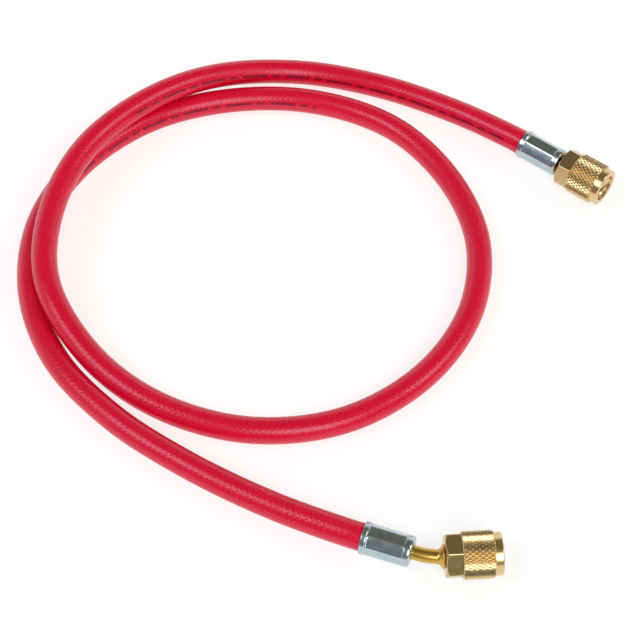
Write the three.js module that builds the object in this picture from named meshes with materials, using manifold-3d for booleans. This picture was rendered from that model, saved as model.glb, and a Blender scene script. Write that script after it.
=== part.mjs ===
// Refrigerant charging hose, in millimetres, +Z up, lying on the plane z = 0.
// One thick-walled hose is crimped at both ends on to a brass stem by a steel ferrule. Each stem
// carries a knurled coupling nut that spins on it, and holds a gasket for the service port's flare.
// The bent end also has the small pin that opens a valve's core.

import * as THREE from 'three';
import { mergeVertices } from 'three/addons/utils/BufferGeometryUtils.js';
import Module from 'manifold-3d';

const wasm = await Module();
wasm.setup();

// Clearance between pieces that touch on the real hose.
const clearance = 0.3;

// How far a joined solid reaches into the other, and a cutter past what it cuts.
const overrun = 1;

// Hose.
const hoseDiameter = 11.5;
const hoseBore = 5.0;
const hoseSides = 12;
const hoseBoreSides = 8;
const hoseSteps = 72;
const hoseRunOut = 6;
const hosePathDivisions = 1200;

// Ferrule: a sleeve with a round rim, eight pressed flats and a rounded front wall.
const ferruleLength = 20.6;
const ferruleRimWall = 0.75;
const ferruleRimLength = 1.8;
const ferruleRimRound = 0.3;
const ferruleWall = 0.8;
const ferruleFrontWall = 1.8;
const ferruleFrontRound = 1.2;
const crimpSqueeze = 0.75;
const crimpTaper = 1.6;
const crimpRise = 0.4;
const crimpFlats = 8;
const crimpLength = 15.2;

// Stem: a barbed tail in the hose, a flange behind the ferrule's front wall, a tube, a collar
// behind the nut, a neck that the nut spins on and a head with the gasket's seat.
const stemDiameter = 5.8;
const stemBore = 2.6;
const barbDepth = 0.35;
const barbPitch = 3.2;
const barbCount = 4;
const barbStart = 2.3;
const stemFlangeLength = 1.2;
const stemCollarRim = 0.5;
const stemNeckDiameter = 6.6;
const stemHeadFloor = 1.6;
const stemHeadLip = 0.75;
const bendRadius = 28;
const bendStart = 1.5;

// Coupling nut for a quarter inch flare: a hexagon, a knurled grip and a plain ring at the mouth.
const hexAcrossFlats = 16.5;
const hexLength = 6.6;
const hexChamferLength = 0.95;
const hexChamferDepth = 1.5;
const knurlDiameter = 19.2;
const knurlLength = 12.8;
const knurlChamfer = 0.45;
const ringDiameter = 17.3;
const ringLength = 3.2;
const ringChamfer = 0.45;
const nutRearWall = 4;
const threadMajor = 11.1;
const threadMinor = 9.9;
const threadPitch = 1.27;
const threadTurns = 8;
const threadLeadIn = 0.8;
const mouthDiameter = 12.4;
const mouthDepth = 2.5;

// Gasket and core depressor.
const gasketLength = 2.4;
const gasketHole = 3;
const gasketStandout = 0.7;
const waferLength = 0.6;
const pinDiameter = 1.6;
const pinLength = 3.4;
const flowHoleDiameter = 1.1;
const flowHoleCircle = 4.2;
const flowHoleCount = 3;

// Sides of the turned pieces.
const nutSides = 28;
const sleeveSides = 28;
const stemSides = 16;
const drillSides = 8;

// Steps round a stem's bend and round a ferrule's shoulder.
const bendSteps = 16;
const shoulderSteps = 3;

// The two ends. An end stands where the hose leaves its ferrule, level, at the nut's radius, so
// that the nut's grip rests on the floor. Headings are in degrees from +X, seen from above.
const bentEnd = {
  name: 'bent_end',
  at: [16.5, -122.35],
  heading: -18.8,
  bend: 22.4,
  tubeLength: 9.9,
  collarLength: 2.5,
  collarFootDiameter: stemDiameter,
  collarDiameter: 9.8,
  hexTurn: 24,
  crimpTurn: 17.5,
  depressor: true,
};
const straightEnd = {
  name: 'straight_end',
  at: [95.2, 86.45],
  heading: -37.8,
  bend: 0,
  tubeLength: 0.3,
  collarLength: 1,
  collarFootDiameter: 7.6,
  collarDiameter: 11,
  hexTurn: 46,
  crimpTurn: 27,
  depressor: false,
};

// The hose's middle line between its ferrules, from the bent end to the straight end.
const hoseRoute = [
  [-20, -106.5, 7.4],
  [-55.5, -86.5, 6.1],
  [-88, -63, 5.8],
  [-114.5, -33, 5.8],
  [-128.7, 4.5, 5.8],
  [-127.65, 44.5, 5.8],
  [-110.2, 79.8, 5.8],
  [-80, 106, 5.8],
  [-42, 118, 5.8],
  [-2, 116.5, 5.8],
  [34, 100, 5.8],
  [59.15, 68.5, 5.8],
  [70.8, 30.5, 5.8],
  [65.3, -9, 5.8],
  [43.7, -42.7, 5.8],
  [10, -64.85, 5.8],
  [-29.5, -69.85, 5.8],
  [-67.6, -58.3, 6.3],
  [-98.2, -34.7, 8.8],
  [-119.5, 0, 15],
  [-121.3, 40, 16.6],
  [-108.2, 77.6, 17.8],
  [-81.3, 107, 17.9],
  [-51, 126.05, 14],
  [-11.5, 134.55, 8],
  [27.5, 127.05, 6.4],
  [64, 109.2, 7.4],
];

// Sizes that follow from the ones above.
const hoseRadius = hoseDiameter / 2;
const hoseBoreLeast = (hoseBore / 2) * Math.cos(Math.PI / hoseBoreSides);
const crimpedHoseRadius = hoseRadius - crimpSqueeze;
const sleeveBoreRadius = crimpedHoseRadius + clearance;
const sleeveMouthRadius = hoseRadius + clearance;
const crimpApothem = sleeveBoreRadius + ferruleWall;
const crimpRadius = crimpApothem + crimpRise;
const rimRadius = sleeveMouthRadius + ferruleRimWall;
const stemRadius = stemDiameter / 2;
const stemTailRadius = hoseBoreLeast - clearance;
const stemFlangeRadius = sleeveBoreRadius - clearance;
const stemNeckRadius = stemNeckDiameter / 2;
const stemHeadRadius = threadMinor / 2 - clearance;
const headStart = nutRearWall + clearance;
const seatStart = headStart + stemHeadFloor;
const seatRadius = stemHeadRadius - stemHeadLip;
const nutRadius = knurlDiameter / 2;
const nutLength = hexLength + knurlLength + ringLength;
const gripLength = ferruleLength - ferruleFrontWall - stemFlangeLength - 2 * clearance;
const radians = Math.PI / 180;

// A piece turned about +X. The outline's points are [along, radius], from the axis round to it
// again, or a closed ring for a piece with a bore.
function turned(outline, sides) {
  const points = outline.map(([along, radius]) => new THREE.Vector2(radius, along));
  return new THREE.LatheGeometry(points, sides).rotateZ(-Math.PI / 2);
}

// A regular outline in a plane.
function regularOutline(radius, sides) {
  const corners = [];
  for (let i = 0; i < sides; i += 1) {
    const angle = (i * 2 * Math.PI) / sides;
    corners.push(new THREE.Vector2(radius * Math.cos(angle), radius * Math.sin(angle)));
  }
  return corners;
}

// A round bar or, with a bore, a tube swept along a path.
function swept(path, radius, sides, steps, boreRadius = 0, boreSides = sides) {
  const section = new THREE.Shape(regularOutline(radius, sides));
  if (boreRadius > 0) section.holes.push(new THREE.Path(regularOutline(boreRadius, boreSides)));
  return new THREE.ExtrudeGeometry(section, { extrudePath: path, steps, bevelEnabled: false });
}

// A closed mesh as a solid that can be joined and cut, and back.
function solid(geometry) {
  const plain = geometry.index ? geometry.toNonIndexed() : geometry.clone();
  plain.deleteAttribute('normal');
  plain.deleteAttribute('uv');
  const merged = mergeVertices(plain, 1e-4);
  return new wasm.Manifold(new wasm.Mesh({
    numProp: 3,
    vertProperties: new Float32Array(merged.attributes.position.array),
    triVerts: new Uint32Array(merged.index.array),
  }));
}

function geometryOf(shape) {
  const mesh = shape.getMesh();
  const geometry = new THREE.BufferGeometry();
  geometry.setAttribute('position', new THREE.BufferAttribute(mesh.vertProperties, 3));
  geometry.setIndex(new THREE.BufferAttribute(mesh.triVerts, 1));
  geometry.computeVertexNormals();
  return geometry;
}

// The straight run, bend and second straight run of a stem's tube, from behind its flange to
// inside its head. Along +X, the bend turning towards +Y.
function stemPath(end, from, to) {
  const bendFrom = ferruleLength + bendStart;
  const bend = end.bend * radians;
  const start = new THREE.Vector3(from, 0, 0);
  const path = new THREE.CurvePath();
  if (bend === 0) {
    path.add(new THREE.LineCurve3(start, new THREE.Vector3(to, 0, 0)));
    return path;
  }
  const knee = new THREE.Vector3(bendFrom + bendRadius * Math.tan(bend / 2), 0, 0);
  const bendOn = new THREE.Vector3(bendFrom, 0, 0);
  const ahead = new THREE.Vector3(Math.cos(bend), Math.sin(bend), 0);
  const bendOff = knee.clone().addScaledVector(ahead, knee.x - bendFrom);
  const straightAfter = to - bendFrom - bendRadius * bend;
  path.add(new THREE.LineCurve3(start, bendOn));
  path.add(new THREE.QuadraticBezierCurve3(bendOn, knee, bendOff));
  path.add(new THREE.LineCurve3(bendOff, bendOff.clone().addScaledVector(ahead, straightAfter)));
  return path;
}

// The length of the stem from the ferrule's mouth to the nut's rear face.
function lengthToNut(end) {
  return ferruleLength + end.tubeLength + end.collarLength + clearance;
}

// Where the nut's rear face stands: a place on the ferrule's level, and its turn.
function nutPlace(end) {
  const path = stemPath(end, 0, lengthToNut(end));
  const place = new THREE.Group();
  place.position.copy(path.getPoint(1));
  place.rotation.z = end.bend * radians;
  place.updateMatrix();
  return place;
}

function stemGeometry(end) {
  const collarEnd = -clearance;
  const collarStart = collarEnd - end.collarLength;
  const collarRadius = end.collarDiameter / 2;
  const headEnd = gasketStart(end) + gasketLength - gasketStandout;

  const barbs = [];
  for (let i = 0; i < barbCount; i += 1) {
    const at = barbStart + i * barbPitch;
    barbs.push([at, stemTailRadius - barbDepth], [at + barbPitch - barbDepth, stemTailRadius]);
  }
  const flangeStart = gripLength + clearance;
  const flangeEnd = flangeStart + stemFlangeLength;
  const tail = turned([
    [barbs[0][0], 0],
    ...barbs,
    [flangeStart, stemTailRadius],
    [flangeStart, stemFlangeRadius],
    [flangeEnd, stemFlangeRadius],
    [flangeEnd, 0],
  ], stemSides);

  const head = turned([
    [collarStart, 0],
    [collarStart, end.collarFootDiameter / 2],
    [collarEnd - stemCollarRim, collarRadius],
    [collarEnd, collarRadius],
    [collarEnd, stemNeckRadius],
    [headStart, stemNeckRadius],
    [headStart, stemHeadRadius],
    [headEnd, stemHeadRadius],
    [headEnd, seatRadius],
    [seatStart, seatRadius],
    [seatStart, 0],
  ], stemSides * 2);

  const steps = end.bend > 0 ? bendSteps : 1;
  const tubePath = stemPath(end, flangeStart + stemFlangeLength / 2, lengthToNut(end));
  const tube = swept(tubePath, stemRadius, stemSides, steps);
  const holePath = stemPath(end, 0, lengthToNut(end) + nutLength);
  const hole = swept(holePath, stemBore / 2, stemSides, steps);
  const shape = solid(tail)
    .add(solid(tube))
    .add(solid(head.applyMatrix4(nutPlace(end).matrix)))
    .subtract(solid(hole));
  return geometryOf(shape);
}

// Where the gasket begins, from the nut's rear face.
function gasketStart(end) {
  return seatStart + clearance + (end.depressor ? waferLength + clearance : 0);
}

function ferruleGeometry(end) {
  const frontFoot = ferruleLength - ferruleFrontRound;
  const frontHole = stemRadius + clearance;
  const cavityEnd = ferruleLength - ferruleFrontWall;
  const shoulder = [];
  for (let i = 0; i <= shoulderSteps; i += 1) {
    const angle = (i * Math.PI) / 2 / shoulderSteps;
    shoulder.push([
      frontFoot + ferruleFrontRound * Math.sin(angle),
      crimpRadius - ferruleFrontRound * (1 - Math.cos(angle)),
    ]);
  }
  let shape = solid(turned([
    [0, sleeveMouthRadius],
    [0, rimRadius - ferruleRimRound],
    [ferruleRimRound, rimRadius],
    [ferruleRimLength - ferruleRimRound, rimRadius],
    [ferruleRimLength, crimpRadius],
    ...shoulder,
    [ferruleLength, frontHole],
    [cavityEnd, frontHole],
    [cavityEnd, sleeveBoreRadius],
    [ferruleRimLength + crimpTaper, sleeveBoreRadius],
    [ferruleRimLength, sleeveMouthRadius],
    [0, sleeveMouthRadius],
  ], sleeveSides));
  for (let i = 0; i < crimpFlats; i += 1) {
    const slab = new THREE.BoxGeometry(crimpLength, 2 * rimRadius, rimRadius);
    slab.translate(ferruleRimLength + crimpLength / 2, 0, crimpApothem + rimRadius / 2);
    slab.rotateX(end.crimpTurn * radians + ((i + 0.5) * 2 * Math.PI) / crimpFlats);
    shape = shape.subtract(solid(slab));
  }
  return geometryOf(shape);
}

function nutGeometry(end) {
  const hexRadius = hexAcrossFlats / 2 / Math.cos(Math.PI / 6);
  const hexEnd = hexLength + overrun;
  const hexOutline = new THREE.Shape(regularOutline(hexRadius, 6));
  const hexBar = new THREE.ExtrudeGeometry(hexOutline, { depth: hexEnd, bevelEnabled: false });
  hexBar.rotateY(Math.PI / 2).rotateX(end.hexTurn * radians);
  const chamferSides = nutSides * 2;
  const cornerRadius = hexRadius / Math.cos(Math.PI / chamferSides);
  const chamferBar = turned([
    [0, 0],
    [0, cornerRadius - hexChamferDepth],
    [hexChamferLength, cornerRadius],
    [hexEnd, cornerRadius],
    [hexEnd, 0],
  ], chamferSides);
  const knurlEnd = hexLength + knurlLength;
  const ringRadius = ringDiameter / 2;
  const grip = turned([
    [hexLength, 0],
    [hexLength, nutRadius - knurlChamfer],
    [hexLength + knurlChamfer, nutRadius],
    [knurlEnd - knurlChamfer, nutRadius],
    [knurlEnd, nutRadius - knurlChamfer],
    [knurlEnd, ringRadius],
    [nutLength - ringChamfer, ringRadius],
    [nutLength, ringRadius - ringChamfer],
    [nutLength, 0],
  ], nutSides);

  const threadEnd = nutLength - mouthDepth;
  const threadStart = threadEnd - threadTurns * threadPitch;
  const thread = [];
  for (let i = 0; i < threadTurns; i += 1) {
    const crest = threadStart + i * threadPitch;
    thread.push([crest, threadMinor / 2], [crest + threadPitch / 2, threadMajor / 2]);
  }
  const outside = nutLength + overrun;
  const mouthRadius = mouthDiameter / 2;
  const hollow = turned([
    [-overrun, 0],
    [-overrun, stemNeckRadius + clearance],
    [nutRearWall, stemNeckRadius + clearance],
    [nutRearWall, threadMajor / 2],
    [threadStart - threadPitch / 2, threadMajor / 2],
    ...thread,
    [threadEnd, threadMinor / 2],
    [threadEnd + threadLeadIn, mouthRadius],
    [outside, mouthRadius],
    [outside, 0],
  ], nutSides);
  return geometryOf(solid(hexBar).intersect(solid(chamferBar)).add(solid(grip)).subtract(solid(hollow)));
}

function gasketGeometry(end) {
  const start = gasketStart(end);
  const outer = seatRadius - clearance;
  const inner = gasketHole / 2;
  return turned([
    [start, inner],
    [start, outer],
    [start + gasketLength, outer],
    [start + gasketLength, inner],
    [start, inner],
  ], stemSides * 2);
}

function depressorGeometry() {
  const start = seatStart + clearance;
  const waferEnd = start + waferLength;
  let shape = solid(turned([
    [start, 0],
    [start, seatRadius - clearance],
    [waferEnd, seatRadius - clearance],
    [waferEnd, pinDiameter / 2],
    [waferEnd + pinLength, pinDiameter / 2],
    [waferEnd + pinLength, 0],
  ], stemSides * 2));
  for (let i = 0; i < flowHoleCount; i += 1) {
    const radius = flowHoleDiameter / 2;
    const drill = new THREE.CylinderGeometry(radius, radius, 2 * waferLength, drillSides);
    drill.rotateZ(Math.PI / 2).translate(start + waferLength / 2, flowHoleCircle / 2, 0);
    shape = shape.subtract(solid(drill.rotateX((i * 2 * Math.PI) / flowHoleCount)));
  }
  return geometryOf(shape);
}

// The whole middle line, with the straight run into each ferrule.
function endPoint(end, along) {
  const heading = end.heading * radians;
  return new THREE.Vector3(
    end.at[0] + along * Math.cos(heading),
    end.at[1] + along * Math.sin(heading),
    nutRadius,
  );
}

function hoseGeometry() {
  const points = [
    endPoint(bentEnd, gripLength),
    endPoint(bentEnd, 0),
    endPoint(bentEnd, -hoseRunOut),
    ...hoseRoute.map(([x, y, z]) => new THREE.Vector3(x, y, z)),
    endPoint(straightEnd, -hoseRunOut),
    endPoint(straightEnd, 0),
    endPoint(straightEnd, gripLength),
  ];
  const path = new THREE.CatmullRomCurve3(points, false, 'centripetal');
  path.arcLengthDivisions = hosePathDivisions;
  let shape = solid(swept(path, hoseRadius, hoseSides, hoseSteps, hoseBore / 2, hoseBoreSides));
  const outside = hoseRadius + overrun;
  for (const end of [bentEnd, straightEnd]) {
    const squeezed = turned([
      [clearance, hoseRadius],
      [clearance, outside],
      [gripLength + overrun, outside],
      [gripLength + overrun, crimpedHoseRadius],
      [ferruleRimLength, crimpedHoseRadius],
      [clearance, hoseRadius],
    ], sleeveSides);
    squeezed.rotateZ(end.heading * radians);
    const at = endPoint(end, 0);
    shape = shape.subtract(solid(squeezed.translate(at.x, at.y, at.z)));
  }
  return geometryOf(shape);
}

// Materials.
const finishes = {
  hose: { color: 0xd21f3a, roughness: 0.45, metalness: 0 },
  zinc: { color: 0xb9c2c6, roughness: 0.25, metalness: 1 },
  stem: { color: 0xd6a436, roughness: 0.2, metalness: 1 },
  nut: { color: 0xc7a160, roughness: 0.3, metalness: 1 },
  gasket: { color: 0x1c1c1c, roughness: 0.8, metalness: 0 },
};

function piece(name, geometry, finish) {
  const mesh = new THREE.Mesh(geometry, new THREE.MeshStandardMaterial(finishes[finish]));
  mesh.name = name;
  return mesh;
}

// One end: the ferrule and stem stand at the ferrule's mouth, and what lies past the bend stands
// in a nested group at the nut's rear face.
function buildEnd(end) {
  const group = new THREE.Group();
  group.position.copy(endPoint(end, 0));
  group.rotation.z = end.heading * radians;
  group.add(piece(`ferrule_${end.name}`, ferruleGeometry(end), 'zinc'));
  group.add(piece(`stem_${end.name}`, stemGeometry(end), 'stem'));
  const front = nutPlace(end);
  front.add(piece(`nut_${end.name}`, nutGeometry(end), 'nut'));
  front.add(piece(`gasket_${end.name}`, gasketGeometry(end), 'gasket'));
  if (end.depressor) front.add(piece('core_depressor', depressorGeometry(), 'stem'));
  group.add(front);
  return group;
}

const chargingHose = new THREE.Group();
chargingHose.add(piece('hose', hoseGeometry(), 'hose'));
chargingHose.add(buildEnd(bentEnd));
chargingHose.add(buildEnd(straightEnd));

export default chargingHose;
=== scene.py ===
# %% [markdown]
# # A refrigerant charging hose
#
# A charging hose carries refrigerant between a service valve and a gauge set. It is a red braided
# hose in two loose turns. A steel ferrule is crimped over each end, on a brass stem, and a
# knurled brass nut spins on each stem. The solids loaded here give every piece its place. This
# lesson gives each of them the surface that the eye expects: the crimp's pressed flats, the cut
# knurl, the thread in the mouth and the sheen of the cover.

# %% Load the solids
import math

import bmesh
import bpy
import numpy as np
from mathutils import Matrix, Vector


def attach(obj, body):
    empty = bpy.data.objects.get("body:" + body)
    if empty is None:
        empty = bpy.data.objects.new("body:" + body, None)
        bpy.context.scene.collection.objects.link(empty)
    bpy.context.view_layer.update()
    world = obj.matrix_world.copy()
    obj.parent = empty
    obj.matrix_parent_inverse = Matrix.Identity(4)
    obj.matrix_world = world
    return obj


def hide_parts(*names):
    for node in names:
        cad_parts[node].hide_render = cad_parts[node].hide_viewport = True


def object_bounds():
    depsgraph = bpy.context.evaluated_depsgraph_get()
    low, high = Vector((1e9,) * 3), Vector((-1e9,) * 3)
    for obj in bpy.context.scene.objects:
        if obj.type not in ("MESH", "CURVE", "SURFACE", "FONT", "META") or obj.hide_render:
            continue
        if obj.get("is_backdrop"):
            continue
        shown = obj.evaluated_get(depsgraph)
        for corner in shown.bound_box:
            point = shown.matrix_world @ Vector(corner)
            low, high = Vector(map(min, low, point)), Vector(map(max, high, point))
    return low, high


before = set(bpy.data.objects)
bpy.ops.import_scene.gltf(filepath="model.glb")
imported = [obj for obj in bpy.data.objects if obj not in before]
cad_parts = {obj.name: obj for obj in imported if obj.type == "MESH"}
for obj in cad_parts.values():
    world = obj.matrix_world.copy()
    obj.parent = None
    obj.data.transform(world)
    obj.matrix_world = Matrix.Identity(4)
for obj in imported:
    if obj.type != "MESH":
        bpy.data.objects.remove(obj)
cad_box = [list(corner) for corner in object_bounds()]
mm = 0.001
print("solids:", ", ".join(sorted(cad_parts)))

# %% [markdown]
# The camera comes first, because it decides what shows. The hose was looked at from 54 degrees
# above the floor and about three quarters of a metre away, through a long lens. A camera looks
# along its own -Z, so a quaternion that tracks -Z turns it towards its target.

# %% Camera
target = Vector((-0.5, -9.0, 0.0)) * mm
camera_height = math.radians(54)
camera_distance = 733.9 * mm
towards_camera = Vector((0, -math.cos(camera_height), math.sin(camera_height)))

camera = bpy.data.objects.new("camera", bpy.data.cameras.new("camera"))
camera.data.sensor_width = 36
camera.data.lens = 93.66
camera.location = target + camera_distance * towards_camera
camera.rotation_euler = (-towards_camera).to_track_quat("-Z", "Y").to_euler()
bpy.context.scene.collection.objects.link(camera)
bpy.context.scene.camera = camera
print("camera at", [round(v, 3) for v in camera.location])

# %% [markdown]
# Every piece here is round about a line: the hose about its route, and the fittings about their
# axis. So one idea makes them all. A ring of points is laid round the line at each step along it,
# and faces join each ring to the next. The rings may change in radius, and the radius may change
# round a ring too, which is how flats, hexagons and knurls come out of a plain turned shape.
# A face with four corners that aren't level has two ways to fold. It is split along its lower
# diagonal, so that the bottoms of cut grooves stay sharp.

# %% Skin over rings
def skin(name, rings, wrap=None, groove_shade=None):
    """A closed mesh over rings, the last joined to the first.

    wrap gives each ring its distance along, for a map, and the last argument gives each point
    a depth, which the nut's finish turns into painted shade in its grooves.
    """
    count, sides = rings.shape[:2]
    middles = rings.mean(axis=1, keepdims=True)
    reach = np.linalg.norm(rings - middles, axis=2)
    faces = []
    corners = []
    for i in range(count):
        k = (i + 1) % count
        for j in range(sides):
            n = (j + 1) % sides
            quad = [(i, j, j), (i, n, j + 1), (k, n, j + 1), (k, j, j)]
            if reach[i, j] + reach[k, n] > reach[i, n] + reach[k, j]:
                quad = quad[1:] + quad[:1]
            for triangle in ((quad[0], quad[1], quad[2]), (quad[0], quad[2], quad[3])):
                faces.append([row * sides + column for row, column, _ in triangle])
                corners.append(triangle)
    mesh = bpy.data.meshes.new(name)
    mesh.from_pydata(rings.reshape(-1, 3).tolist(), [], faces)
    if wrap is not None:
        layer = mesh.uv_layers.new(name="Wrap")
        values = [(wrap[row], place / sides) for triangle in corners for row, _, place in triangle]
        layer.data.foreach_set("uv", np.array(values, np.float32).ravel())
    if groove_shade is not None:
        layer = mesh.attributes.new("groove_shade", "FLOAT", "POINT")
        layer.data.foreach_set("value", np.asarray(groove_shade, np.float32).ravel())
    return finish_mesh(name, mesh)


def finish_mesh(name, mesh):
    """Merges the poles, turns the faces outwards and smooths all but the crisp edges."""
    work = bmesh.new()
    work.from_mesh(mesh)
    bmesh.ops.remove_doubles(work, verts=work.verts, dist=1e-7)
    bmesh.ops.dissolve_degenerate(work, edges=work.edges, dist=1e-8)
    if work.calc_volume(signed=True) < 0:
        bmesh.ops.reverse_faces(work, faces=work.faces)
    work.to_mesh(mesh)
    work.free()
    mesh.polygons.foreach_set("use_smooth", [True] * len(mesh.polygons))
    mesh.set_sharp_from_angle(angle=math.radians(35))
    piece = bpy.data.objects.new(name, mesh)
    bpy.context.scene.collection.objects.link(piece)
    print(f"{name}: {len(mesh.polygons)} faces")
    return piece

# %% [markdown]
# ## The hose
#
# The hose lies where the solid hose lies, so the route runs through the same listed points and
# the same kind of curve: a centripetal one, which doesn't overshoot between points. It begins and
# ends straight inside the ferrules. A curve object would do for a plain cord, but rings of our own
# also carry a map of how far along and how far round each point is, and the finish needs that.

# %% The two ends and the route
nut_radius = 9.6 * mm
grip_length = 17.0 * mm
run_out = 6 * mm
bent = {"name": "bent_end", "at": (16.5, -122.35), "heading": -18.8, "bend": 22.4}
straight = {"name": "straight_end", "at": (95.2, 86.45), "heading": -37.8, "bend": 0.0}

route = [
    (-20, -106.5, 7.4), (-55.5, -86.5, 6.1), (-88, -63, 5.8), (-114.5, -33, 5.8),
    (-128.7, 4.5, 5.8), (-127.65, 44.5, 5.8), (-110.2, 79.8, 5.8), (-80, 106, 5.8),
    (-42, 118, 5.8), (-2, 116.5, 5.8), (34, 100, 5.8), (59.15, 68.5, 5.8),
    (70.8, 30.5, 5.8), (65.3, -9, 5.8), (43.7, -42.7, 5.8), (10, -64.85, 5.8),
    (-29.5, -69.85, 5.8), (-67.6, -58.3, 6.3), (-98.2, -34.7, 8.8), (-119.5, 0, 15),
    (-121.3, 40, 16.6), (-108.2, 77.6, 17.8), (-81.3, 107, 17.9), (-51, 126.05, 14),
    (-11.5, 134.55, 8), (27.5, 127.05, 6.4), (64, 109.2, 7.4),
]


def end_point(end, along):
    """A point on the axis of an end's ferrule, measured from the ferrule's mouth."""
    heading = math.radians(end["heading"])
    x, y = end["at"]
    return (
        x * mm + along * math.cos(heading),
        y * mm + along * math.sin(heading),
        nut_radius,
    )


def centripetal(points, steps=24):
    """The smooth curve through the points, with its knots spaced by the root of distance."""
    ahead = 2 * points[0] - points[1]
    behind = 2 * points[-1] - points[-2]
    knots = np.vstack([ahead, points, behind])
    t = np.linspace(0, 1, steps, endpoint=False)[:, None]
    line = []
    for a, b, c, d in zip(knots, knots[1:], knots[2:], knots[3:]):
        before = math.sqrt(np.linalg.norm(b - a))
        span = math.sqrt(np.linalg.norm(c - b))
        after = math.sqrt(np.linalg.norm(d - c))
        leave = span * ((b - a) / before - (c - a) / (before + span) + (c - b) / span)
        arrive = span * ((c - b) / span - (d - b) / (span + after) + (d - c) / after)
        bow = 3 * (c - b) - 2 * leave - arrive
        twist = 2 * (b - c) + leave + arrive
        line.append(b + leave * t + bow * t**2 + twist * t**3)
    return np.vstack(line + [points[-1:]])


def evenly(line, spacing):
    """Points at even distances along a line, and their distances from its start."""
    steps = np.linalg.norm(np.diff(line, axis=0), axis=1)
    lengths = np.concatenate([[0], np.cumsum(steps)])
    along = np.linspace(0, lengths[-1], round(lengths[-1] / spacing) + 1)
    return along, np.column_stack([np.interp(along, lengths, axis) for axis in line.T])


stops = [end_point(bent, grip_length), end_point(bent, 0), end_point(bent, -run_out)]
stops += [(x * mm, y * mm, z * mm) for x, y, z in route]
stops += [end_point(straight, -run_out), end_point(straight, 0), end_point(straight, grip_length)]
hose_along, hose_line = evenly(centripetal(np.array(stops)), 1.0 * mm)
hose_length = hose_along[-1]
print(f"hose: {hose_length:.4f} m on {len(hose_line)} rings")

# %% [markdown]
# A ring of the hose stands square to the route. Its first point is on top, and the count goes
# round by way of the camera's side on the far run of each turn. The wall is squeezed where the
# ferrules grip it. The bore is a second row of rings that runs back inside, so the mesh is closed.

# %% Hose
hose_radius = 5.75 * mm
hose_bore = 2.5 * mm
squeezed_radius = 5.0 * mm
grip_taper = (0.3 * mm, 1.8 * mm)
hose_sides = 48


def across(line):
    """Two unit vectors square to a nearly level line at each point: up and sideways."""
    along = np.gradient(line, axis=0)
    along /= np.linalg.norm(along, axis=1, keepdims=True)
    up = np.array([0, 0, 1]) - along * along[:, 2:3]
    up /= np.linalg.norm(up, axis=1, keepdims=True)
    return up, np.cross(along, up)


def rings_along(line, radius, sides):
    """Rings round a line. The radius is one number, one for each ring or one for each point."""
    up, side = across(line)
    turn = np.linspace(0, 2 * math.pi, sides, endpoint=False)
    spokes = (
        up[:, None] * np.cos(turn)[None, :, None]
        + side[:, None] * np.sin(turn)[None, :, None]
    )
    radius = np.broadcast_to(np.asarray(radius, float).reshape(-1, 1), (len(line), 1))
    return line[:, None] + spokes * radius[:, :, None]


depth_in_ferrule = grip_length - np.minimum(hose_along, hose_length - hose_along)
wall = np.interp(depth_in_ferrule, grip_taper, (hose_radius, squeezed_radius))
outer = rings_along(hose_line, wall, hose_sides)
inner = rings_along(hose_line, hose_bore, hose_sides)
back = np.arange(len(hose_line) - 1, -1, -8)
back = np.append(back, 0) if back[-1] else back
hose = skin(
    "red_hose",
    np.concatenate([outer, inner[back]]),
    wrap=np.concatenate([hose_along, hose_along[back]]),
)
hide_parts("hose")
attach(hose, "root")

# %% [markdown]
# ## Turned pieces
#
# A turned piece starts as an outline: how far along the axis, and how far out from it. Real edges
# are never knife sharp, and the light that an edge catches is what makes metal look like metal.
# So each corner of an outline is eased with a short curve. Long runs are then cut into short
# ones where a relief, such as the knurl, needs more rings. Sizes are in millimetres until the
# piece is put in its place.

# %% Outlines
def eased(outline, size=0.15, steps=3):
    """The closed outline with each corner replaced by a short curve."""
    points = [np.array(p, float) for p in outline]
    smooth = []
    for i, corner in enumerate(points):
        before = points[i - 1] - corner
        after = points[(i + 1) % len(points)] - corner
        cut_in = min(size / np.linalg.norm(before), 0.4)
        cut_out = min(size / np.linalg.norm(after), 0.4)
        for t in np.linspace(0, 1, steps + 1):
            pull = before * cut_in * (1 - t) ** 2 + after * cut_out * t**2
            smooth.append(corner + pull)
    return np.array(smooth)


def finer(outline, longest, outside=None):
    """The outline with no step longer than a length, or only where it is far enough out."""
    points = []
    for i, start in enumerate(outline):
        end = outline[(i + 1) % len(outline)]
        step = longest if outside is None or min(start[1], end[1]) > outside else 2.0
        parts = max(1, math.ceil(abs(end[0] - start[0]) / step - 1e-6))
        for part in range(parts):
            points.append(start + (end - start) * part / parts)
    return np.array(points)


def stem_place(end, along):
    """Points on a stem's axis, and the direction there, in the frame of the ferrule's mouth."""
    bend = math.radians(end["bend"])
    bend_from, bend_radius = 22.1, 28.0
    along = np.asarray(along, float)
    turn = np.clip((along - bend_from) / bend_radius, 0, bend)
    before = np.minimum(along, bend_from) if bend else along
    after = np.maximum(along - bend_from - bend_radius * bend, 0) if bend else 0 * along
    x = before + bend_radius * np.sin(turn) + after * math.cos(bend)
    y = bend_radius * (1 - np.cos(turn)) + after * math.sin(bend)
    return x, y, turn


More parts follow.
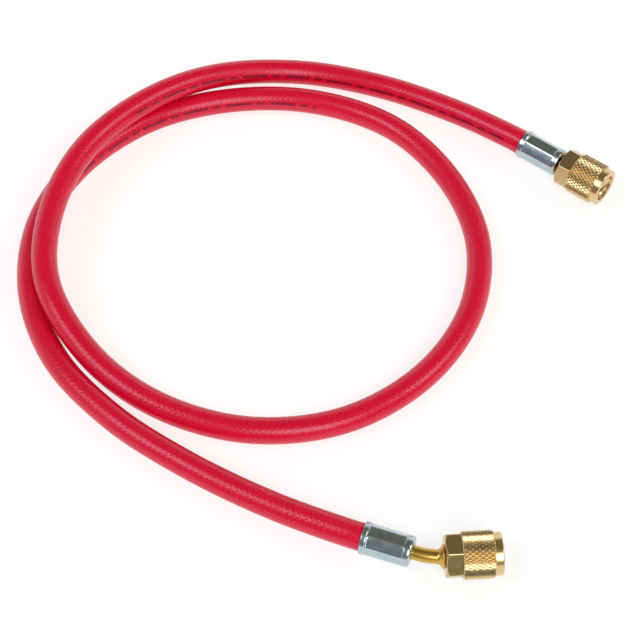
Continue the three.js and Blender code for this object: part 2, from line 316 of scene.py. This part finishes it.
def turned(name, end, outline, sides, turn=0.0, relief=None):
    """A piece turned about a stem's axis, with a relief that sets the radius of each point."""
    outline = np.asarray(outline, float)
    angle = np.linspace(0, 2 * math.pi, sides, endpoint=False)
    radius = np.repeat(outline[:, 1:2], sides, axis=1)
    if relief is not None:
        radius = relief(outline[:, 0:1], angle[None, :], radius)
    x, y, lean = (value[:, None] for value in stem_place(end, outline[:, 0]))
    around = angle + math.radians(turn)
    out = radius * -np.sin(around)
    heading = math.radians(end["heading"])
    local_x = x - out * np.sin(lean)
    local_y = y + out * np.cos(lean)
    rings = np.stack([
        end["at"][0] + local_x * math.cos(heading) - local_y * math.sin(heading),
        end["at"][1] + local_x * math.sin(heading) + local_y * math.cos(heading),
        nut_radius / mm + radius * np.cos(around),
    ], axis=2) * mm
    # How deep each point lies below its outline; the nut's finish paints shade from it.
    depth = np.clip(outline[:, 1:2] - radius, 0, None)
    return skin(name, rings, groove_shade=depth if relief is not None else None)

# %% [markdown]
# ## Ferrules
#
# A ferrule is a zinc-plated steel sleeve. A press with eight jaws squeezes it on to the hose and
# leaves eight long flats with round corners. The mouth stays round, and so does the shoulder at
# the front. Booleans could cut the flats, but a relief gives them soft edges: the radius is the
# lesser of the round sleeve and the slightly bulged flat, within a mask that ends each flat.

# %% Ferrules
crimp_apothem = 6.1
crimp_radius = 6.5
crimp_flats = 8
crimp_sides = 192
flat_from, flat_to = 2.2, 17.7
flat_corner, flat_bulge = 1.4, 0.2


def soft_least(a, b, blend):
    """The lesser of two values, with the change from one to the other rounded off."""
    mix = np.clip(0.5 + (b - a) / (2 * blend), 0, 1)
    return b + (a - b) * mix - blend * mix * (1 - mix)


def smooth_step(low, high, value):
    """Zero below low, one above high and a smooth rise between."""
    t = np.clip((value - low) / (high - low), 0, 1)
    return t * t * (3 - 2 * t)


def crimp(along, angle, radius):
    """Presses the flats into the outside of the sleeve."""
    pitch = 2 * math.pi / crimp_flats
    off = np.abs((angle % pitch) - pitch / 2)
    flat = crimp_apothem / np.cos(off)
    flat = flat + flat_bulge * (crimp_radius - flat)
    ends = np.abs(along - (flat_from + flat_to) / 2) - (flat_to - flat_from) / 2
    sides = (off - pitch / 2) * crimp_radius
    round_off = np.hypot(np.maximum(ends + flat_corner, 0), np.maximum(sides + flat_corner, 0))
    reach = round_off - flat_corner
    share = 1 - smooth_step(-0.35, 0.0, reach)
    return radius + (soft_least(radius, flat, 0.05) - radius) * share


def ferrule(end, crimp_turn):
    """The sleeve: rim at the hose, crimp, shoulder, front hole and the cavity inside."""
    outline = eased([
        (0, 6.05), (0, 6.8), (1.8, 6.8), (2.1, crimp_radius), (19.4, crimp_radius),
        (20.25, 6.15), (20.6, 5.3), (20.6, 3.2), (18.8, 3.2), (18.8, 5.3), (3.4, 5.3), (1.8, 6.05),
    ], size=0.25)
    piece = turned(
        f"zinc_ferrule_{end['name']}", end, finer(outline, 0.12, outside=6.1),
        crimp_sides,
        turn=crimp_turn, relief=lambda x, a, r: np.where(r > 6.2, crimp(x, a, r), r),
    )
    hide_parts(f"ferrule_{end['name']}")
    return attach(piece, "root")


ferrules = [ferrule(bent, 17.5), ferrule(straight, 27.0)]

# %% [markdown]
# ## Stems
#
# The stem is one brass piece from barbs inside the hose to the head inside the nut. Its outline
# is turned like the others, and then it follows the axis round the bend, so the tube, the collar
# and the head stay one smooth skin. The bent one shows between ferrule and nut, and of the
# straight one only a thin collar shows.

# %% Stems
clearance = 0.3
barb_start, barb_pitch, barb_depth = 2.3, 3.2, 0.35
tail_radius = 2.5 * math.cos(math.pi / 8) - clearance


def nut_start(end):
    """How far the nut's rear face is from the ferrule's mouth."""
    return 33.3 if end["bend"] else 22.2


def stem(end, collar_length, collar_foot, collar_radius, head_depth):
    """Barbed tail, flange, tube, collar, neck and head, and back through the bore."""
    rear = nut_start(end)
    collar_end = rear - clearance
    barbs = []
    for i in range(4):
        at = barb_start + i * barb_pitch
        barbs += [(at, tail_radius - barb_depth), (at + barb_pitch - barb_depth, tail_radius)]
    flare = []
    for share in (0.0, 0.25, 0.5, 0.75, 1.0):
        along = collar_end - collar_length + share * (collar_length - 0.5)
        flare.append((along, collar_foot + (collar_radius - collar_foot) * share**1.8))
    outline = eased([
        (barb_start, 1.3), *barbs, (17.3, tail_radius), (17.3, 5.0), (18.5, 5.0), (18.5, 2.9),
        (collar_end - collar_length, 2.9), *flare, (collar_end, collar_radius), (collar_end, 3.3),
        (rear + 4.3, 3.3), (rear + 4.3, 4.65), (rear + head_depth, 4.65),
        (rear + head_depth, 3.9), (rear + 5.9, 3.9), (rear + 5.9, 1.3),
    ], size=0.2)
    piece = turned(f"brass_stem_{end['name']}", end, finer(outline, 0.6), 72)
    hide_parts(f"stem_{end['name']}")
    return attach(piece, "root")


stems = [
    stem(bent, 2.5, 2.91, 4.9, head_depth=8.8),
    stem(straight, 1.0, 3.8, 5.5, head_depth=7.9),
]

# %% [markdown]
# ## Coupling nuts
#
# The nut is cut from a hexagon bar. The knurl is diamond shaped: two sets of grooves cross at
# about thirty degrees to the axis, one leaning left and one right. Each set is a saw-toothed wave
# in (turn + along) or (turn - along), and the metal that is left is the lower of the two. Behind a
# short plain recess the mouth has a right-hand thread, one such wave that climbs a pitch in each
# turn. Two radii in the outline are only marks that say which relief a ring gets.

# %% Nuts
hex_apothem = 8.25
hex_length, knurl_length, ring_length = 6.6, 12.8, 3.2
knurl_radius, ring_radius = 9.6, 8.65
knurl_count, knurl_pitch, knurl_depth = 36, 2.56, 0.56
thread_major, thread_minor, thread_pitch = 5.55, 4.95, 1.27
mouth_radius, mouth_depth = 6.2, 2.5
nut_length = hex_length + knurl_length + ring_length
hex_corner_radius = 9.45
chamfer_start, chamfer_slope = 8.03, 1.5 / 0.95
thread_turns = 8
hex_mark, bore_mark = 9.5, 5.0
nut_sides = 360


def tooth(phase):
    """A wave of straight flanks, zero at whole numbers and one halfway between."""
    return 1 - np.abs(2 * (phase % 1) - 1)


def hexagon(along, angle):
    """The hexagon's radius, with the turned chamfer that takes its rear corners off."""
    off = np.abs(angle % (math.pi / 3) - math.pi / 6)
    bar = soft_least(hex_apothem / np.cos(off), hex_corner_radius, 0.1)
    chamfer = chamfer_start + chamfer_slope * along
    return soft_least(bar, chamfer, 0.08)


def knurl(along, angle):
    """The knurl's radius: the lower of two crossing waves, with the tips slightly flattened."""
    turns = angle / (2 * math.pi) * knurl_count
    climb = (along - hex_length) / knurl_pitch
    lower = np.minimum(tooth(turns + climb), tooth(turns - climb))
    return knurl_radius - knurl_depth * (1 - np.minimum(1.12 * lower, 1))


def nut(end, hex_turn):
    """One nut: hexagon, knurl, ring, threaded mouth, cavity and the hole for the neck."""
    rear = nut_start(end)
    knurl_end = hex_length + knurl_length
    thread_end = nut_length - mouth_depth
    thread_start = thread_end - thread_turns * thread_pitch
    hex_steps = (0.0, 0.1, 0.2, 0.35, 0.5, 0.65, 0.8, 0.95, 1.1, 1.4, 2.0)
    hex_part = [(x, hex_mark) for x in hex_steps]
    hex_part += [(hex_length - 0.3, hex_mark), (hex_length - 0.02, hex_mark)]
    steps = round(knurl_length / (knurl_pitch / 10))
    grip = [(hex_length + knurl_pitch / 10 * i, knurl_radius) for i in range(2, steps - 1)]
    bore = [(thread_end - thread_pitch / 8 * i, bore_mark) for i in range(8 * thread_turns + 1)]
    outline = np.array([
        (0, 3.6), (0, 7.7), *hex_part, (hex_length, 8.9), *grip,
        (knurl_end - 0.02, 9.1), (knurl_end, 8.75),
        (knurl_end, ring_radius), (knurl_end + 0.1, ring_radius),
        (nut_length - 0.5, ring_radius), (nut_length - 0.45, ring_radius),
        (nut_length - 0.3, ring_radius - 0.05),
        (nut_length - 0.1, ring_radius - 0.22), (nut_length, ring_radius - 0.45),
        (nut_length, mouth_radius + 0.15), (nut_length - 0.05, mouth_radius + 0.04),
        (nut_length - 0.15, mouth_radius), (thread_end + 0.9, mouth_radius),
        (thread_end + 0.8, mouth_radius - 0.05), *bore,
        (thread_start - 0.6, thread_major), (4.0, thread_major), (4.0, 3.6),
    ])

    def relief(along, angle, radius):
        x = along - rear
        is_hex = np.isclose(radius, hex_mark)
        is_knurl = np.isclose(radius, knurl_radius)
        is_bore = np.isclose(radius, bore_mark)
        wave = tooth(x / thread_pitch - angle / (2 * math.pi))
        thread = thread_minor + (thread_major - thread_minor) * np.clip(1.25 * wave - 0.12, 0, 1)
        radius = np.where(is_hex, hexagon(x, angle), radius)
        radius = np.where(is_knurl, knurl(x, angle), radius)
        return np.where(is_bore, thread, radius)

    outline[:, 0] += rear
    piece = turned(
        f"brass_nut_{end['name']}", end, outline, nut_sides, turn=hex_turn, relief=relief,
    )
    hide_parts(f"nut_{end['name']}")
    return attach(piece, f"{end['name']}_nut")


nuts = [nut(bent, 24.0), nut(straight, 46.0)]

# %% [markdown]
# ## Gaskets
#
# A rubber gasket sits in the head of each stem and stands a little proud of it. The flare of the
# service port presses on it. In the bent end, a small brass pin on a drilled wafer opens the
# core of the valve: it is well hidden, so its solid stays as it is and only gets a finish.

# %% Gaskets
def gasket(end, start):
    """A thick ring with eased corners."""
    at = nut_start(end) + start
    outline = eased([(at, 1.5), (at, 3.6), (at + 2.4, 3.6), (at + 2.4, 1.5)], size=0.3)
    piece = turned(f"rubber_gasket_{end['name']}", end, outline, 72)
    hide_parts(f"gasket_{end['name']}")
    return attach(piece, "root")


gaskets = [gasket(bent, 7.1), gasket(straight, 6.2)]

# %% [markdown]
# The hose has its real length. It leaves the bent end's ferrule and carries the other end's
# fittings.

# %% [markdown]
# ## Finishes
#
# Shader nodes read better as sums. So a number that varies over a surface is wrapped in a small
# class whose operators add Math nodes. Any other node is added by one method of the shading that
# it belongs to: a material's finish, or further down the sky.

# %% A small language for shaders
class Varying:
    """A number that varies over a surface. Python's operators on it add Math nodes."""

    def __init__(self, shading, socket):
        self.shading = shading
        self.socket = socket

    def math(self, operation, *values):
        settings = {"operation": operation}
        return self.shading.node("ShaderNodeMath", settings, dict(enumerate(values)))

    def __add__(self, other):
        return self.math("ADD", self, other)

    def __radd__(self, other):
        return self.math("ADD", other, self)

    def __sub__(self, other):
        return self.math("SUBTRACT", self, other)

    def __rsub__(self, other):
        return self.math("SUBTRACT", other, self)

    def __mul__(self, other):
        return self.math("MULTIPLY", self, other)

    def __rmul__(self, other):
        return self.math("MULTIPLY", other, self)

    def __gt__(self, other):
        return self.math("GREATER_THAN", self, other)

    def __lt__(self, other):
        return self.math("LESS_THAN", self, other)

    def __mod__(self, other):
        return self.math("FLOORED_MODULO", self, other)

    def wave(self):
        return self.math("SINE", self)

    def size(self):
        return self.math("ABSOLUTE", self)

    def least(self, other):
        return self.math("MINIMUM", self, other)

    def rise(self, low, high):
        """Zero below low, one above high and a smooth rise between."""
        values = {"Value": self, "From Min": low, "From Max": high}
        return self.shading.node(
            "ShaderNodeMapRange", {"interpolation_type": "SMOOTHSTEP"}, values,
        )


class Shading:
    """A tree of shader nodes. One method adds any node to it."""

    def __init__(self, tree):
        self.tree = tree

    def node(self, kind, settings=None, values=None, output=0):
        """Adds a node: first its settings, then the values or links of its sockets."""
        node = self.tree.nodes.new(kind)
        for name, setting in (settings or {}).items():
            setattr(node, name, setting)
        for socket, value in (values or {}).items():
            self.put(node.inputs[socket], value)
        return Varying(self, node.outputs[output])

    def put(self, socket, value):
        if isinstance(value, Varying):
            self.tree.links.new(value.socket, socket)
        else:
            socket.default_value = value

    def split(self, vector):
        """The three parts of a vector."""
        first = self.node("ShaderNodeSeparateXYZ", None, {"Vector": vector})
        return [Varying(self, socket) for socket in first.socket.node.outputs]

    def blend(self, share, low, high):
        """A colour between two colours."""
        values = {"Factor": share, 6: low, 7: high}
        return self.node("ShaderNodeMix", {"data_type": "RGBA"}, values, output=2)

    def noise(self, scale, detail=2.0, place=None):
        place = place or self.node("ShaderNodeTexCoord", output=3)
        values = {"Vector": place, "Scale": scale, "Detail": detail}
        return self.node("ShaderNodeTexNoise", None, values)


class Finish(Shading):
    """A material being made, with its constants set on the shader's own sockets."""

    def __init__(self, name, **constants):
        self.material = bpy.data.materials.new(name)
        self.material.use_nodes = True
        super().__init__(self.material.node_tree)
        self.shader = self.tree.nodes["Principled BSDF"]
        for socket, value in constants.items():
            self.shader.inputs[socket.replace("_", " ")].default_value = value

    def feed(self, socket, value):
        self.put(self.shader.inputs[socket], value)

    def raise_by(self, height, distance, strength=1.0):
        """Feeds a height in the surface's normals."""
        values = {"Height": height, "Distance": distance, "Strength": strength}
        self.feed("Normal", self.node("ShaderNodeBump", None, values))

# %% [markdown]
# The cover is satin red rubber over a braid, and the braid shows through it: two sets of yarns
# that cross, as low ripples. Its sheen is a little cool. On two runs of the hose a dark printed
# line shows. It is drawn here as plain dashes, long and short: the spans are millimetres within
# one repeat, the runs are metres along the hose, and the line's place is a share of the way round.

# %% Hose cover
braid_pitch, yarns = 5.2 * mm, 12
dash_repeat = 22
dash_spans = [(0, 13), (15.5, 19.5)]
printed_runs = [(0.29, 0.42), (0.93, 1.13)]
line_middle, line_half_width = 0.19, 0.018


def sum_of(parts):
    """The sum of varying numbers."""
    first, *others = parts
    return sum(others, first)


def hose_cover():
    cover = Finish("satin_red_cover", IOR=1.52, Specular_Tint=(0.62, 0.80, 1.0, 1))
    along, around, _ = cover.split(cover.node("ShaderNodeUVMap", {"uv_map": "Wrap"}))

    turns = around * yarns
    climb = along * (1 / braid_pitch) * 2
    left = ((turns + climb) * math.pi).wave().size()
    right = ((turns - climb) * math.pi).wave().size()
    braid = left.least(right)
    fine = cover.noise(900, detail=3)
    cover.raise_by(braid * 0.7 + fine * 0.45, distance=0.07 * mm)

    drift = cover.noise(14, detail=3)
    red = cover.blend(drift, (0.67, 0.001, 0.028, 1), (0.73, 0.002, 0.035, 1))
    place = (along % (dash_repeat * mm)) * (1 / mm)
    dashes = sum_of((place > start) * (place < stop) for start, stop in dash_spans)
    printed = sum_of((along > start) * (along < stop) for start, stop in printed_runs)
    line = (around - line_middle).size() < line_half_width
    worn = cover.noise(1400, detail=2)
    ink = dashes * line * printed * (0.62 + 0.5 * worn).least(1.0) * 0.85
    cover.feed("Base Color", cover.blend(ink, red, (0.10, 0.006, 0.018, 1)))
    cover.feed("Roughness", 0.22 + 0.10 * fine)
    return cover.material


hose.data.materials.append(hose_cover())

# %% [markdown]
# Zinc plate is bright but a little milky and cool, and its roughness wanders. Brass differs with
# how it was made: the stem is polished and golden, and the nut is cut from paler bar. The mesh
# tells how deep each point is, and the nut's colour darkens where its knurl's grooves are deep:
# that darkening is painted shade.

# %% Metals and rubber
def zinc_plate():
    zinc = Finish("bright_zinc_plate", Metallic=1.0)
    cloud = zinc.noise(420, detail=4)
    speck = zinc.noise(3200, detail=2)
    color = zinc.blend(cloud, (0.38, 0.47, 0.52, 1), (0.56, 0.66, 0.71, 1))
    zinc.feed("Base Color", color)
    zinc.feed("Roughness", 0.16 + 0.14 * cloud)
    zinc.raise_by(cloud * 0.6 + speck * 0.4, distance=0.02 * mm)
    return zinc.material


def brass(name, dark, light, low, high, groove_shade=None):
    metal = Finish(name, Metallic=1.0)
    cloud = metal.noise(300, detail=4)
    fine = metal.noise(2600, detail=2)
    color = metal.blend(cloud, dark, light)
    if groove_shade:
        # Painted shade: the colour darkens towards a shade colour where the knurl's grooves are
        # deep.
        depth = metal.node("ShaderNodeAttribute", {"attribute_name": "groove_shade"}, output=2)
        color = metal.blend(depth.rise(0.15, 0.60) * 0.8, color, groove_shade)
    metal.feed("Base Color", color)
    metal.feed("Roughness", low + (high - low) * cloud)
    metal.raise_by(cloud * 0.5 + fine * 0.5, distance=0.015 * mm)
    return metal.material


def gasket_rubber():
    rubber = Finish("black_gasket_rubber", Roughness=0.7)
    speck = rubber.noise(2400, detail=3)
    color = rubber.blend(speck, (0.012, 0.012, 0.012, 1), (0.03, 0.03, 0.03, 1))
    rubber.feed("Base Color", color)
    rubber.feed("Roughness", 0.6 + 0.2 * speck)
    return rubber.material


zinc = zinc_plate()
stem_brass = brass(
    "polished_stem_brass", (0.58, 0.36, 0.075, 1), (0.70, 0.45, 0.115, 1), 0.26, 0.38,
)
# The nut's third colour is the painted shade of its knurl's grooves.
nut_brass = brass(
    "cut_nut_brass", (0.68, 0.49, 0.24, 1), (0.80, 0.61, 0.34, 1), 0.18, 0.32,
    groove_shade=(0.54, 0.39, 0.19, 1),
)
rubber = gasket_rubber()
for group, finish in ((ferrules, zinc), (stems, stem_brass), (nuts, nut_brass), (gaskets, rubber)):
    for piece in group:
        piece.data.materials.append(finish)
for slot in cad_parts["core_depressor"].material_slots:
    slot.material = stem_brass

# %% [markdown]
# ## Floor and light
#
# Shiny metal shows the room more than itself, so the room matters. The hose lies on a light table,
# a white sheet lit mostly from below, so that its shadows stay faint. The room is dim, warm in
# front and cool on the left. Three round soft boxes hang in front, on the left and on the right,
# the wall far on the left is paler, and the backdrop behind is white. All of it is drawn on the
# sky by direction, so it is the same from any view: the angle `over` goes from the horizon in
# front, over the top and down to the horizon behind.

# %% Floor and room
table_half_width = 4.0
floor_mesh = bpy.data.meshes.new("floor")
signs = ((-1, -1), (1, -1), (1, 1), (-1, 1))
floor_corners = [(x * table_half_width, y * table_half_width, 0) for x, y in signs]
floor_mesh.from_pydata(floor_corners, [], [(0, 1, 2, 3)])
floor = bpy.data.objects.new("floor", floor_mesh)
bpy.context.scene.collection.objects.link(floor)
floor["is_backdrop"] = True
table_glow = 0.74
sheet = Finish(
    "light_table_sheet", Roughness=0.9, Base_Color=(0.30, 0.30, 0.30, 1),
    Emission_Color=(1, 1, 1, 1), Emission_Strength=table_glow,
)
floor.data.materials.append(sheet.material)

dim_strength, box_strength, backdrop_strength, wall_strength = 0.20, 4.6, 0.85, 0.5
world = bpy.data.worlds.new("studio")
bpy.context.scene.world = world
world.use_nodes = True
studio = Shading(world.node_tree)
toward_x, toward_y, toward_z = studio.split(studio.node("ShaderNodeTexCoord"))
over = toward_z.math("ARCTAN2", toward_z, toward_y * -1.0)


def round_box(place, half_width):
    """A round soft box in the sky: the direction to its middle and its half width in degrees."""
    x, y, z = Vector(place).normalized()
    facing = toward_x * x + toward_y * y + toward_z * z
    edge = [math.cos(math.radians(half_width + soft)) for soft in (4, -4)]
    return facing.rise(*edge)


backdrop = over.rise(math.radians(140), math.radians(150))
left_wall = (toward_x * -1.0).rise(0.82, 0.95) * toward_z.rise(0.0, 0.25)
boxes = sum_of([
    round_box((0.20, -0.70, 0.68), 17),
    round_box((-0.62, -0.20, 0.76), 13),
    round_box((0.75, -0.10, 0.65), 12),
])
bright = (boxes + backdrop + left_wall).least(1.0)
cool = toward_x.rise(-0.15, -0.45)
dim = studio.blend(cool, (0.96, 0.85, 0.58, 1), (0.90, 0.97, 1.12, 1))
strength = dim_strength + boxes * box_strength
strength = strength + backdrop * backdrop_strength + left_wall * wall_strength
background = world.node_tree.nodes["Background"]
studio.put(background.inputs["Strength"], strength)
studio.put(background.inputs["Color"], studio.blend(bright, dim, (1, 1, 1, 1)))
bpy.context.scene.view_settings.view_transform = "Standard"

# %% [markdown]
# At the end, the box of the dressed hose is printed beside the box of the solids, so that it
# shows whether the finish changed the size.

# %% Measure and finish
bpy.context.view_layer.update()
visual_box = [list(corner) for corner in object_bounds()]
for name, box in (("cad", cad_box), ("visual", visual_box)):
    print(name, [[round(v * 1000, 2) for v in corner] for corner in box])
